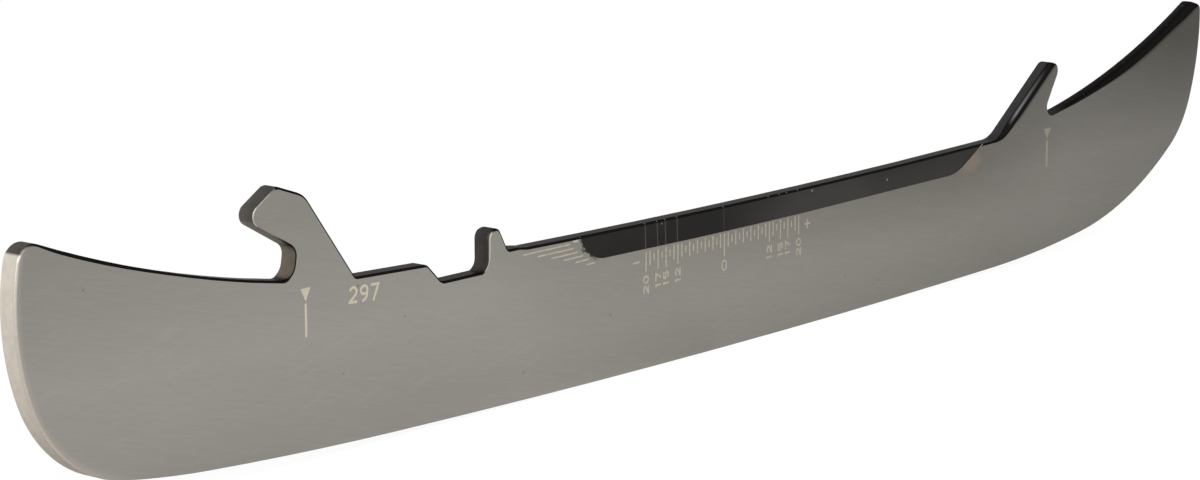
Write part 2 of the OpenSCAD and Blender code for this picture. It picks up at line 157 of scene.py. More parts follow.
def speckGroup():
    # small pits and dust, sparse and uneven
    graph, given, out = newGroup("specks", {"Scale": 300.0, "Size": 0.12, "Bare Share": 0.72}, ["Mask"])
    cells = graph.add("ShaderNodeTexVoronoi", {"Vector": graph.place(), "Scale": given["Scale"],
                                               "Randomness": 1.0})
    chance = graph.add("ShaderNodeTexWhiteNoise", {"Vector": cells.outputs["Position"]}).outputs["Value"]
    chosen = graph.math("GREATER_THAN", chance, given["Bare Share"])
    inside = graph.math("LESS_THAN", cells.outputs["Distance"], given["Size"])
    graph.link(graph.product(chosen, inside), out["Mask"])
    return graph.tree


def scratchGroup():
    # a few hair-thin scratches at a chosen slant
    inputs = {"Slant": 0.3, "Length": 45.0, "Spacing": 900.0, "Amount": 0.03}
    graph, given, out = newGroup("scratches", inputs, ["Mask"])
    turned = graph.add("ShaderNodeVectorRotate", {"Vector": graph.place(), "Angle": given["Slant"]},
                       rotation_type="Y_AXIS").outputs[0]
    axes = graph.axes(turned)
    stretched = graph.add("ShaderNodeCombineXYZ", {"X": graph.product(axes["X"], given["Length"]),
                                                   "Z": graph.product(axes["Z"], given["Spacing"])}).outputs[0]
    crest = graph.math("ABSOLUTE", graph.math("SUBTRACT", graph.noise(stretched, 1.0, 1.0), 0.5))
    graph.link(graph.ramp(crest, 0.0, given["Amount"], 1.0, 0.0), out["Mask"])
    return graph.tree


def facingGroup():
    # which way an edge looks along the plate: 1 is rearward or upward, -1 is forward or downward
    graph, _, out = newGroup("facing", {}, ["Rearward", "Upward"])
    axes = graph.axes(graph.add("ShaderNodeTexCoord").outputs["Normal"])
    x, z = axes["X"], axes["Z"]
    length = graph.math("SQRT", graph.math("ADD", graph.product(x, x), graph.product(z, z)))
    graph.link(graph.math("DIVIDE", graph.product(x, -1.0), length), out["Rearward"])
    graph.link(graph.math("DIVIDE", z, length), out["Upward"])
    return graph.tree


groundLook = {
    "top": srgb(222, 213, 201),
    "low": srgb(188, 179, 166),
    "grainDepth": 0.1,
    "heelEnd": -118,  # mm, as are the rest
    "toeStart": 118,
    "lowEdge": 18,  # all that looks down below this height is ground
    "heelTop": 37.9,
    "heelFade": (0, 0.3),  # below its top, as is the toe's
    "toeTop": 36,
    "toeFade": (0, 0.6),
    "heights": (0, 38),  # from the low colour to the top one
}


def groundGroup():
    # where the plate was ground after coating: the heel's back, the running edge and the toe's front
    look = groundLook
    inputs = {"Rearward": 0.0, "Upward": 0.0, "Heel Top": look["heelTop"] * mm, "Toe Top": look["toeTop"] * mm}
    graph, given, out = newGroup("groundBare", inputs, ["Mask", "Height"])
    axes = graph.axes(graph.place())
    x, z = axes["X"], axes["Z"]
    heel = graph.product(graph.math("LESS_THAN", x, look["heelEnd"] * mm),
                         graph.ramp(given["Rearward"], 0.0, 0.15),
                         graph.span(graph.math("SUBTRACT", given["Heel Top"], z), look["heelFade"]))
    toe = graph.product(graph.math("GREATER_THAN", x, look["toeStart"] * mm),
                        graph.ramp(given["Rearward"], -0.25, -0.4),
                        graph.span(graph.math("SUBTRACT", given["Toe Top"], z), look["toeFade"]))
    low = graph.product(graph.math("LESS_THAN", z, look["lowEdge"] * mm), graph.ramp(given["Upward"], -0.1, -0.3))
    graph.link(graph.math("MAXIMUM", graph.math("MAXIMUM", heel, toe), low), out["Mask"])
    graph.link(graph.span(z, look["heights"]), out["Height"])
    return graph.tree


groups = {
    "grain": brushedGrainGroup(), "specks": speckGroup(), "scratches": scratchGroup(),
    "facing": facingGroup(), "ground": groundGroup(),
}
print("node groups made:", ", ".join(sorted(groups)))


def useGroup(graph, name, **values):
    node = graph.add("ShaderNodeGroup", node_tree=groups[name])
    for label, value in values.items():
        graph.fill(node.inputs[label], value)
    return node.outputs


def useFacing(graph):
    facing = useGroup(graph, "facing")
    return facing, useGroup(graph, "ground", Rearward=facing["Rearward"], Upward=facing["Upward"])


def newMaterial(name, look):
    # a material with its place in the part's frame
    material = bpy.data.materials.new(name)
    material.use_nodes = True
    material.node_tree.nodes.clear()
    graph = Graph(material.node_tree)
    shader = graph.add("ShaderNodeBsdfPrincipled", {"Roughness": look["roughness"], "Metallic": look["metallic"]})
    graph.link(shader.outputs[0], graph.add("ShaderNodeOutputMaterial").inputs["Surface"])
    axes = graph.axes(graph.place())
    return material, graph, shader, axes["X"], axes["Y"], axes["Z"]


def groundColour(graph, ground, grain, share=1.0):
    look = groundLook
    colour = graph.mixColor(ground["Height"], look["low"], look["top"])
    return graph.shaded(colour, graph.ramp(grain["Grain"], 0.35, 0.65, share * (1 - look["grainDepth"]), share))


# soft patches on the plate: centre and radii in mm, and the share of the radii at which the fade starts
patches = {
    "stain": ((72, 21), (7, 3.4), 0.2),
    "halo": ((70.5, 21.2), (4.5, 2.6), 0.4),
    "glint": ((-36.6, 23.1), (0.9, 0.4), 0.5),
    "nose": ((-107, 36), (11, 8), 0.6),
    "noseBreak": ((-107, 36), (9, 7), 0.7),
    "under": ((-104, 32), (9, 5), 0.7),
    "jaw": ((-97, 28.5), (6, 5), 0.7),
    "post": ((-57, 25), (4, 6), 0.7),
    "postBreak": ((-57, 25), (4, 5), 0.7),
    "heelCorner": ((-145.6, 37.6), (1.8, 1.2), 0.6),
}


def patch(graph, x, z, name):
    centre, radii, inner = patches[name]
    dx = graph.math("DIVIDE", graph.math("SUBTRACT", x, centre[0] * mm), radii[0] * mm)
    dz = graph.math("DIVIDE", graph.math("SUBTRACT", z, centre[1] * mm), radii[1] * mm)
    far = graph.math("SQRT", graph.math("ADD", graph.product(dx, dx), graph.product(dz, dz)))
    return graph.ramp(far, inner, 1.0, 1.0, 0.0)


# lines of the outline and the relief that soft borders follow, in mm
rampLine = {"x": 80.3, "z": 23.81, "angle": 36.2}
toeArc = {"x": 68.47, "z": 199.74, "radius": 176}
heelArcs = [{"x": -113.8, "z": 29.9, "radius": 34.7}, {"x": -127.3, "z": 24.43, "radius": 20.2}]
heelArcsMeet = 17.05
reliefRear = {"x": -29.5, "z": 25.9, "radius": 6.5}


def beyond(graph, x, z, arc):
    # how far outside an arc's circle, in metres
    dx = graph.math("SUBTRACT", x, arc["x"] * mm)
    dz = graph.math("SUBTRACT", z, arc["z"] * mm)
    far = graph.math("SQRT", graph.math("ADD", graph.product(dx, dx), graph.product(dz, dz)))
    return graph.math("SUBTRACT", far, arc["radius"] * mm)


faceLook = {
    "tint": (3.5, 0.8, -5.5),  # red, green and blue against the satin's level
    "grain": 2.3,  # screen levels either way, as is the cloud
    "cloud": 3,
    "scratch": 2.5,
    "stain": srgb(112, 97, 85),
    "stainShare": 0.8,
    "halo": srgb(141, 130, 113),
    "haloShare": 0.45,
    "glint": srgb(196, 192, 186),
    "glintShare": 0.8,
    "speck": srgb(95, 90, 84),
    "speckShare": 0.4,
    "roughness": 0.4,
    "metallic": 1.0,
    "grainHeight": 0.000004,
}

# painted light and shade on the face: the satin's screen level and how it falls across the plate
satinPaintedLightLook = {
    "level": 146,  # screen level on the rear half, from which the painted light falls in steps
    "falls": [(-50, 30, 15), (30, 80, 8), (70, 106, 5), (100, 142, 10)],  # from x, to x, levels lost
    "lowLoss": 5,  # painted shade: levels lost along the running edge, and as many again at the heel
    "low": (8, 1),  # mm, as are all the pairs below
    "heel": (-50, -100),
    "heelLow": (10, 2),
    "rearGain": 12,
    "rear": (-35, -65),
    "rearHigh": (8, 34),
    "reliefLoss": 20,  # painted shade below the relief
    "relief": (-60, 65),
    "reliefEnd": (105, 66),
    "reliefHigh": (11, 20),
    "toeLoss": 38,
    "toe": (80, 140),
    "toeStart": 0.55,  # share of the toe's loss where it starts
    "toeHigh": (18, 36),
}


def satinWithPaintedLight(graph, x, z):
    # the satin's screen level with broad light and shade painted in: steps darker toward the toe, painted shade
    # low down, at the heel, below the relief and high on the toe, painted light high at the rear
    look = satinPaintedLightLook
    level = look["level"]
    for start, end, loss in look["falls"]:
        level = graph.math("SUBTRACT", level, graph.span(x, (start, end), 0, loss))
    low = graph.span(z, look["low"], 0, look["lowLoss"])
    heel = graph.product(graph.span(x, look["heel"]), graph.span(z, look["heelLow"], 0, look["lowLoss"]))
    rear = graph.product(graph.span(x, look["rear"]), graph.span(z, look["rearHigh"], 0, look["rearGain"]))
    relief = graph.product(graph.span(x, look["relief"], 0, look["reliefLoss"]), graph.span(x, look["reliefEnd"]),
                           graph.span(z, look["reliefHigh"]))
    toe = graph.product(graph.span(x, look["toe"], look["toeStart"], 1),
                        graph.span(z, look["toeHigh"], 0, look["toeLoss"]))
    for loss in (low, heel, relief, toe):
        level = graph.math("SUBTRACT", level, loss)
    return graph.math("ADD", level, rear)


# the light line's fade from the break inwards and its start along the heel, in mm, and its strength
borderLook = {"colour": srgb(172, 165, 156), "width": (0.3, 1.2), "start": (-128, -136), "share": 0.7}


def heelBorder(graph, x, z):
    # light line on the face along the ground back of the heel
    look = borderLook
    high = graph.math("GREATER_THAN", z, heelArcsMeet * mm)
    upper, lower = (graph.product(beyond(graph, x, z, arc), -1) for arc in heelArcs)
    depth = graph.math("ADD", graph.product(upper, high), graph.product(lower, graph.math("SUBTRACT", 1, high)))
    return graph.product(graph.span(depth, look["width"], 1, 0), graph.span(x, look["start"]), look["share"])


rimLook = {
    "colour": srgb(30, 28, 26),
    "ramp": (0.9, 1.6),  # mm from the ramp, fully dark and clear; all the pairs are in mm
    "rampStart": (81.5, 84),
    "rampHigh": (25.5, 27),
    "toeStart": (100, 104),
    "widening": (101, 124),
    "widths": (0.05, 0.7),
    "tip": (137, 144),
    "tipWidth": 0.4,  # added at the tip
    "softening": (112, 130),
    "fades": (0.2, 0.9),
}


def rimShade(graph, x, z):
    # soft dark border under the ramp and along the top edge of the toe, 1 at the edge break
    look = rimLook
    angle = math.radians(rampLine["angle"])
    depth = graph.math("SUBTRACT", graph.product(graph.math("SUBTRACT", x, rampLine["x"] * mm), math.sin(angle)),
                       graph.product(graph.math("SUBTRACT", z, rampLine["z"] * mm), math.cos(angle)))
    ramp = graph.product(graph.span(depth, look["ramp"], 1, 0), graph.span(x, look["rampStart"]),
                         graph.span(z, look["rampHigh"]))
    width = graph.math("ADD", graph.span(x, look["widening"], look["widths"][0] * mm, look["widths"][1] * mm),
                       graph.span(x, look["tip"], 0, look["tipWidth"] * mm))
    fade = graph.span(x, look["softening"], look["fades"][0] * mm, look["fades"][1] * mm)
    share = graph.math("DIVIDE", graph.math("SUBTRACT", beyond(graph, x, z, toeArc), width), fade)
    toe = graph.product(graph.ramp(share, 0, 1, 1, 0), graph.span(x, look["toeStart"]))
    return graph.math("MAXIMUM", ramp, toe)


smudgeLook = {
    "colour": srgb(60, 58, 56),
    "fringe": (-0.3, 1.2),  # mm by which its edge wanders, as are the rest
    "width": (1, 0.6),
    "behind": (-31, -33),
    "below": (23.2, 22.4),
}


def smudge(graph, x, z):
    # uneven dark rim along the relief's rear end
    look = smudgeLook
    fringe = graph.noise(graph.place(), 1300.0, 3.0, 0.6)
    off = graph.math("ADD", beyond(graph, x, z, reliefRear),
                     graph.ramp(fringe, 0.3, 0.7, look["fringe"][0] * mm, look["fringe"][1] * mm))
    return graph.product(graph.span(off, look["width"]), graph.span(x, look["behind"]),
                         graph.span(z, look["below"]))


def faceSteel():
    look = faceLook
    material, graph, shader, x, y, z = newMaterial("faceSteel", look)
    grain = useGroup(graph, "grain", Length=220.0, Fineness=5200.0, Slant=-0.23)
    specks = useGroup(graph, "specks", Scale=260.0, Size=0.07)
    scratches = useGroup(graph, "scratches", Slant=0.28, Spacing=700.0, Amount=0.012)
    # the satin's tone with its painted light and shade
    level = satinWithPaintedLight(graph, x, z)
    level = graph.math("ADD", level, graph.ramp(grain["Grain"], 0.3, 0.7, -look["grain"], look["grain"]))
    level = graph.math("ADD", level, graph.ramp(grain["Cloud"], 0.3, 0.7, -look["cloud"], look["cloud"]))
    level = graph.math("ADD", level, graph.product(scratches["Mask"], look["scratch"]))
    parts = [graph.math("DIVIDE", graph.math("ADD", level, tint), 255) for tint in look["tint"]]
    screen = graph.add("ShaderNodeCombineColor", dict(zip(("Red", "Green", "Blue"), parts))).outputs[0]
    colour = graph.add("ShaderNodeGamma", {"Color": screen, "Gamma": 2.2}).outputs[0]
    marked = graph.span(y, (0.3, -0.3))  # 1 on the marked face, 0 on the plain one
    blotch = graph.ramp(graph.noise(graph.place(), 520.0, 5.0, 0.65), 0.42, 0.62)
    stain = graph.product(patch(graph, x, z, "stain"), blotch, marked, look["stainShare"])
    colour = graph.mixColor(stain, colour, look["stain"])
    halo = graph.product(patch(graph, x, z, "halo"), marked, look["haloShare"])
    colour = graph.mixColor(halo, colour, look["halo"])
    colour = graph.mixColor(graph.product(smudge(graph, x, z), marked), colour, smudgeLook["colour"])
    colour = graph.mixColor(heelBorder(graph, x, z), colour, borderLook["colour"])
    glint = graph.product(patch(graph, x, z, "glint"), marked, look["glintShare"])
    colour = graph.mixColor(glint, colour, look["glint"])
    colour = graph.mixColor(graph.product(specks["Mask"], look["speckShare"]), colour, look["speck"])
    colour = graph.mixColor(rimShade(graph, x, z), colour, rimLook["colour"])
    graph.link(colour, shader.inputs["Base Color"])
    rough = graph.ramp(grain["Cloud"], 0.3, 0.7, look["roughness"] - 0.04, look["roughness"] + 0.05)
    graph.link(rough, shader.inputs["Roughness"])
    bump = graph.add("ShaderNodeBump", {"Height": grain["Grain"], "Strength": 0.25,
                                        "Distance": look["grainHeight"]}).outputs[0]
    graph.link(bump, shader.inputs["Normal"])
    return material


edgeLook = {
    "colour": srgb(72, 70, 67),  # up-facing and forward-facing sides
    "ramp": srgb(64, 64, 65),
    "toe": srgb(52, 51, 50),
    "toeNear": srgb(22, 21, 20),
    "heelCorner": srgb(96, 93, 88),
    "nose": srgb(92, 90, 87),
    "under": srgb(134, 128, 120),
    "jaw": srgb(128, 120, 109),
    "jawDark": srgb(92, 82, 73),
    "post": srgb(68, 65, 63),
    "speck": srgb(120, 104, 92),
    "speckShare": 0.35,
    "nearShade": 0.7,  # how far a rear-facing side darkens to the marked face
    "grazing": (0.4, 0.4, 0.4, 1),  # how much of the mirror is left at a low angle
    "roughness": 0.42,
    "metallic": 1.0,
    "rampStart": (76, 80),  # mm, as are the rest
    "toeStart": (96, 103),
    "heelCornerStart": (-141, -145),
    "toeThickness": (-1.1, 1.3),
    "thickness": (1.2, -1.4),  # from the plain face's edge to the marked one's
}


def edgeSteel():
    look = edgeLook
    material, graph, shader, x, y, z = newMaterial("edgeSteel", look)
    grain = useGroup(graph, "grain", Length=700.0, Fineness=900.0)
    specks = useGroup(graph, "specks", Scale=900.0, Size=0.16)
    facing, ground = useFacing(graph)
    rearward = graph.ramp(facing["Rearward"], 0.3, 0.6)
    colour = graph.mixColor(graph.span(x, look["rampStart"]), look["colour"], look["ramp"])
    toe = graph.mixColor(graph.span(y, look["toeThickness"]), look["toeNear"], look["toe"])
    colour = graph.mixColor(graph.span(x, look["toeStart"]), colour, toe)
    colour = graph.mixColor(patch(graph, x, z, "nose"), colour, look["nose"])
    colour = graph.mixColor(graph.span(x, look["heelCornerStart"]), colour, look["heelCorner"])
    under = graph.product(patch(graph, x, z, "under"), graph.ramp(facing["Upward"], -0.3, -0.6))
    colour = graph.mixColor(under, colour, look["under"])
    jawColour = graph.mixColor(graph.ramp(grain["Cloud"], 0.35, 0.65), look["jawDark"], look["jaw"])
    jaw = graph.product(patch(graph, x, z, "jaw"), graph.ramp(facing["Rearward"], 0.25, 0.5))
    colour = graph.mixColor(jaw, colour, jawColour)
    colour = graph.mixColor(graph.product(patch(graph, x, z, "post"), rearward), colour, look["post"])
    loss = graph.product(graph.span(y, look["thickness"]), rearward, 1 - look["nearShade"])
    shade = graph.product(graph.math("SUBTRACT", 1.0, loss), graph.ramp(grain["Grain"], 0.3, 0.7, 0.9, 1.08))
    colour = graph.shaded(colour, shade)
    colour = graph.mixColor(graph.product(specks["Mask"], look["speckShare"]), colour, look["speck"])
    colour = graph.mixColor(ground["Mask"], colour, groundColour(graph, ground, grain))
    graph.link(colour, shader.inputs["Base Color"])
    shader.inputs["Specular Tint"].default_value = look["grazing"]
    return material


# the scale's zero and its line width in mm, and its numbered lines in steps of 1 mm from zero
scaleLook = {"zero": 0.45, "lineWidth": 0.3, "rear": [-20, -17, -15, -12, 0], "front": [12, 15, 17, 20]}


def longLines(graph, x, counts):
    # where the scale's long lines run on beyond the face
    total = 0.0
    for count in counts:
        off = graph.math("ABSOLUTE", graph.math("SUBTRACT", x, (scaleLook["zero"] + count) * mm))
        total = graph.math("MAXIMUM", total, graph.math("LESS_THAN", off, scaleLook["lineWidth"] / 2 * mm))
    return total


def markedward(graph):
    # 1 where a surface looks to the marked side, 0 on an edge
    return graph.product(graph.axes(graph.add("ShaderNodeTexCoord").outputs["Normal"])["Y"], -1)


arrisLook = {
    "colour": srgb(26, 25, 23),
    "post": srgb(60, 58, 56),
    "worn": srgb(180, 174, 164),
    "streak": srgb(114, 114, 115),
    "crossing": srgb(120, 116, 108),
    "groundShare": 0.84,  # of the ground sides' colour
    "grazing": (0.15, 0.15, 0.15, 1),
    "roughness": 0.38,
    "metallic": 0.9,
    "streakStart": (83.5, 86),  # mm, as is the end
    "streakEnd": (86, 95.5),
}


def arrisSteel():
    # the edge breaks
    look = arrisLook
    material, graph, shader, x, _, z = newMaterial("arrisSteel", look)
    grain = useGroup(graph, "grain", Length=300.0, Fineness=3000.0)
    facing, ground = useFacing(graph)
    turned = markedward(graph)
    rearward = graph.ramp(facing["Rearward"], 0.35, 0.6)
    onPost = graph.product(patch(graph, x, z, "postBreak"), rearward)
    worn = graph.product(patch(graph, x, z, "noseBreak"), rearward)
    worn = graph.math("MAXIMUM", worn, graph.product(onPost, graph.ramp(turned, 0.75, 0.85)))
    worn = graph.math("MAXIMUM", worn, patch(graph, x, z, "heelCorner"))
    colour = graph.mixColor(onPost, look["colour"], look["post"])
    colour = graph.mixColor(worn, colour, look["worn"])
    # light caught by the inner half of the ramp's break
    streak = graph.product(graph.ramp(turned, 0.12, 0.4), graph.ramp(turned, 0.78, 0.6),
                           graph.ramp(facing["Rearward"], 0.3, 0.5),
                           graph.span(x, look["streakStart"]), graph.span(x, look["streakEnd"], 1, 0))
    colour = graph.mixColor(streak, colour, look["streak"])
    crossing = graph.product(longLines(graph, x, scaleLook["rear"] + scaleLook["front"]),
                             graph.ramp(turned, 0.9, 0.7), graph.ramp(turned, 0.3, 0.5))
    colour = graph.mixColor(crossing, colour, look["crossing"])
    colour = graph.mixColor(ground["Mask"], colour, groundColour(graph, ground, grain, look["groundShare"]))
    graph.link(colour, shader.inputs["Base Color"])
    shader.inputs["Specular Tint"].default_value = look["grazing"]
    return material


reliefLook = {
    "colour": srgb(55, 53, 50),
    "darker": srgb(30, 29, 28),
    "line": srgb(84, 78, 69),
    "speck": srgb(132, 130, 128),
    "speckShare": 0.7,
    "wall": srgb(150, 141, 127),
    "frontWall": srgb(120, 112, 99),
    "roughness": 0.34,
    "metallic": 1.0,
    "lightStart": (0, 20),  # where the painted sheen on the floor begins, in mm, as are the rest
    "lightEnd": (36, 45),
    "lightLow": (22.5, 20),
    "linesFade": (-8, 0),
    "frontWallStart": 60,
}


def reliefSteel():
    look = reliefLook
    material, graph, shader, x, _, z = newMaterial("reliefSteel", look)
    grain = useGroup(graph, "grain", Length=80.0, Fineness=2600.0)
    specks = useGroup(graph, "specks", Scale=330.0, Size=0.1)
    # painted sheen: the floor is lighter in its middle and toward its lower side, and falls to the darker colour
    # elsewhere
    light = graph.product(graph.span(x, look["lightStart"]), graph.span(x, look["lightEnd"], 1, 0.45),
                          graph.span(z, look["lightLow"], 0.75, 0.95))
    tone = graph.math("ADD", light, graph.ramp(grain["Cloud"], 0.32, 0.68, -0.1, 0.4))
    colour = graph.mixColor(tone, look["darker"], look["colour"])
    lines = graph.product(longLines(graph, x, scaleLook["rear"]), graph.span(x, look["linesFade"], 0.6, 0.25))
    colour = graph.mixColor(lines, colour, look["line"])
    colour = graph.mixColor(graph.product(specks["Mask"], look["speckShare"]), colour, look["speck"])
    atFront = graph.math("GREATER_THAN", x, look["frontWallStart"] * mm)
    isWall = graph.ramp(markedward(graph), 0.6, 0.3)
    colour = graph.mixColor(isWall, colour, graph.mixColor(atFront, look["wall"], look["frontWall"]))
    graph.link(graph.math("SUBTRACT", 1, isWall), shader.inputs["Metallic"])
    graph.link(colour, shader.inputs["Base Color"])
    return material


markLook = {
    "heelColour": srgb(206, 196, 174),
    "heelWorn": srgb(194, 184, 163),
    "colour": srgb(190, 180, 158),
    "worn": srgb(164, 155, 139),
    "toeColour": srgb(176, 165, 148),
    "toeWorn": srgb(152, 143, 129),
    "pointer": srgb(140, 133, 119),
    "roughness": 0.6,
    "metallic": 0.0,
    "toeward": (-20, 22),  # where the marks' painted light falls off toward the toe, in mm, as are the rest
    "heelward": (-50, -70),
    "pointerStart": 80,
}


def etchedMark():
    look = markLook
    material, graph, shader, x, _, _ = newMaterial("etchedMark", look)
    grain = useGroup(graph, "grain", Length=900.0, Fineness=5200.0)
    worn = graph.ramp(grain["Grain"], 0.35, 0.65)
    # painted light: the marks are lighter toward the heel and darker toward the toe, like the face around them
    colour = graph.mixColor(graph.span(x, look["toeward"]), graph.mixColor(worn, look["worn"], look["colour"]),
                            graph.mixColor(worn, look["toeWorn"], look["toeColour"]))
    heelward = graph.mixColor(worn, look["heelWorn"], look["heelColour"])
    colour = graph.mixColor(graph.span(x, look["heelward"]), colour, heelward)
    colour = graph.mixColor(graph.math("GREATER_THAN", x, look["pointerStart"] * mm), colour, look["pointer"])
    graph.link(colour, shader.inputs["Base Color"])
    return material


materials = {
    "face": faceSteel(), "edge": edgeSteel(), "arris": arrisSteel(), "relief": reliefSteel(), "mark": etchedMark(),
}
materialOrder = ["face", "edge", "relief", "arris"]
print("materials made:", ", ".join(materials))

plateLook = {
    "edgeBreak": 0.36,  # mm, on most edges
    "rearBreak": 0.14,  # on the edges that look to the heel
    "rampBreak": 0.95,  # on the tab's ramp
    "toeBreak": 0.8,  # along the toe's top edge
    "notchBreak": 0.1,  # at the bottom of the notch
    "tipBreak": 1.2,  # at the tip of the toe
    "heelBreak": 0.3,  # at the heel corner
    "postBreak": 0.5,  # down the post's rear wall
    "backBreak": 0.35,  # down the heel's back
    "heelTopBreak": 0.55,  # along the heel's top edge, near its corner
    "frontBreak": 0.1,  # on the edges that look to the toe, from the tab on
    "farHeel": 0.12,  # all round the heel, on the plain side
    "farToe": 0.3,  # along the toe's top edge, on the plain side
    "leastBreak": 0.02,  # on the running edge, which is sharp
    "segments": 4,
    "step": 2.0,  # longest step along the outline
}

# where the edge breaks change along the outline, in mm: a place, or the two ends of a change
breakZones = {
    "back": -118,
    "backRise": (4, 12),
    "backTop": (34, 37.5),
    "running": 20,
    "toeFront": 140,
    "toeFrontTop": 38,
    "frontRise": (20, 30),
    "heelTop": -110,
    "heelTopRise": (-118, -136),
    "heelCorner": (-140, -146),
    "toeTop": 100,
    "toeTopRise": (99, 126),
    "tip": (136, 145),
    "tab": 78,
    "rampRise": (78, 84),
    "notch": (90, 28),
    "post": (-60, -53),
    "postRise": (22, 24),
    "reliefSide": 20,
}


def breakWidths(point, outward):
    # widths of the two edge breaks in mm at a place on the outline, on the marked and on the plain side
    look, zones = plateLook, breakZones
    x, z = point
    if x < zones["back"] and outward.y < 0.2:
        rise = smooth(*zones["backRise"], z)
        near = look["backBreak"] * rise + (look["heelBreak"] - look["backBreak"]) * smooth(*zones["backTop"], z)
        far = look["farHeel"] * rise
    elif z < zones["running"] or x > zones["toeFront"] and outward.x > 0.5 and z < zones["toeFrontTop"]:
        near = far = look["frontBreak"] * smooth(*zones["frontRise"], z)
    elif x < zones["heelTop"]:
        corner = smooth(*zones["heelCorner"], x)
        near = blend(look["edgeBreak"], look["heelTopBreak"], smooth(*zones["heelTopRise"], x))
        near = blend(near, look["heelBreak"], corner)
        far = blend(look["edgeBreak"], look["farHeel"], corner)
    elif x > zones["toeTop"]:
        front = smooth(0.3, 0.9, outward.x)
        near = blend(look["notchBreak"], look["toeBreak"], smooth(*zones["toeTopRise"], x))
        near += (look["tipBreak"] - look["toeBreak"]) * smooth(*zones["tip"], x)
        near = blend(near, look["frontBreak"], front)
        far = blend(look["farToe"], look["frontBreak"], front)
    elif x > zones["tab"]:
        front = smooth(-0.2, 0.8, outward.x)
        near = blend(look["edgeBreak"], look["rampBreak"], smooth(*zones["rampRise"], x))
        far = look["edgeBreak"]
        if x > zones["notch"][0] and z < zones["notch"][1]:
            near, far = look["notchBreak"], look["farToe"]
        near = blend(near, look["frontBreak"], front)
        far = blend(far, look["frontBreak"], front)
    else:
        turned = smooth(0.2, 0.6, -outward.x)
        near = far = blend(look["edgeBreak"], look["rearBreak"], turned)
        if zones["post"][0] < x < zones["post"][1]:
            near = blend(near, look["postBreak"], turned * smooth(*zones["postRise"], z))
    return max(near, look["leastBreak"]), max(far, look["leastBreak"])


def flat(vertex):
    return Vector((vertex.co.x, vertex.co.z))


def signedArea(points):
    return sum(a.cross(b) for a, b in zip(points, points[1:] + points[:1])) / 2


def rims(faces):
    # closed chains of points round a set of faces, each one counter-clockwise seen from the marked side
    faces = list(faces)
    members = set(faces)
    follow = {}
    for face in faces:
        for loop in face.loops:
            if not members.issuperset(loop.edge.link_faces):
                follow[loop.vert] = loop.link_loop_next.vert
    chains = []
    while follow:
        first, vertex = follow.popitem()
        chain = [flat(first)]
        while vertex != first:
            chain.append(flat(vertex))
            vertex = follow.pop(vertex)
        chains.append(chain if signedArea(chain) > 0 else chain[::-1])
    return chains


def rightward(a, b):
    step = (b - a).normalized()
    return Vector((step.y, -step.x))


def chainNormals(points, closed):
    # each point's outward direction, led by the longer of its two steps
    normals = []
    count = len(points)
    for i, point in enumerate(points):
        total = Vector((0, 0))
        if closed or i > 0:
            before = points[i - 1]
            total += rightward(before, point) * (point - before).length
        if closed or i < count - 1:
            after = points[(i + 1) % count]
            total += rightward(point, after) * (after - point).length
        normals.append(total.normalized())
    return normals


class Shell:
    # points with their own normals, and faces in several materials
    def __init__(self):
        self.points, self.normals, self.faces, self.kinds = [], [], [], []

    def point(self, place, level, normal):
        self.points.append(Vector((place.x, level, place.y)))
        self.normals.append(Vector(normal).normalized())
        return len(self.points) - 1

    def face(self, corners, kind):
        facing = sum((self.normals[i] for i in corners), Vector())
        across = mathutils.geometry.normal([self.points[i] for i in corners])
        self.faces.append(corners if across.dot(facing) >= 0 else corners[::-1])
        self.kinds.append(materialOrder.index(kind))

    def mesh(self, name):
        mesh = bpy.data.meshes.new(name)
        mesh.from_pydata([p * mm for p in self.points], [], self.faces)
        for key in materialOrder:
            mesh.materials.append(materials[key])
        mesh.polygons.foreach_set("material_index", self.kinds)
        mesh.polygons.foreach_set("use_smooth", [True] * len(self.faces))
        mesh.normals_split_custom_set_from_vertices(self.normals)
        return mesh


markedSide, plainSide = Vector((0, -1, 0)), Vector((0, 1, 0))
tiny = 0.001  # mm, well under any step of the outline
marksDepth = 0.07  # mm, a little past the marks' own depth


def readPlate():
    # the outline, the marks' edges and the relief of the CAD plate, in mm
    source = bmesh.new()
    source.from_mesh(nodes["runner_blade"].data)
    bmesh.ops.scale(source, vec=(1 / mm, 1 / mm, 1 / mm), verts=source.verts)
    bmesh.ops.remove_doubles(source, verts=source.verts, dist=tiny / 10)
    source.normal_update()
    half = max(v.co.y for v in source.verts)
    outline = rims(f for f in source.faces if f.normal.y > 0.99)[0]
    sides = rims(f for f in source.faces if f.normal.y < -0.99 and max(v.co.y for v in f.verts) < tiny - half)
    sides.sort(key=signedArea)
    marks, rim = sides[:-1], sides[-1]
    # the relief's floor is the largest near face that lies deeper than the marks do
    deep = [f for f in source.faces if f.normal.y < -0.9 and f.calc_center_median().y > marksDepth - half]
    floor = max(deep, key=lambda f: f.calc_area())
    slope = floor.normal.copy()
    start = floor.verts[0].co.copy()

    def reliefLevel(place):
        return start.y - (slope.x * (place.x - start.x) + slope.z * (place.y - start.z)) / slope.y

    def distance(place, a, b):
        nearest, share = mathutils.geometry.intersect_point_line(place, a, b)
        return (place - (nearest.to_2d() if 0 <= share <= 1 else a)).length

    def offOutline(place):
        return min(distance(place, a, b) for a, b in zip(outline, outline[1:] + outline[:1])) > tiny

    inner = [offOutline(place) for place in rim]
    first = next(i for i in range(len(rim)) if inner[i] and not inner[i - 1])
    relief = [rim[first - 1]]
    while inner[first % len(rim)]:
        relief.append(rim[first % len(rim)])
        first += 1
    relief.append(rim[first % len(rim)])
    source.free()
    return half, outline, marks, relief, reliefLevel


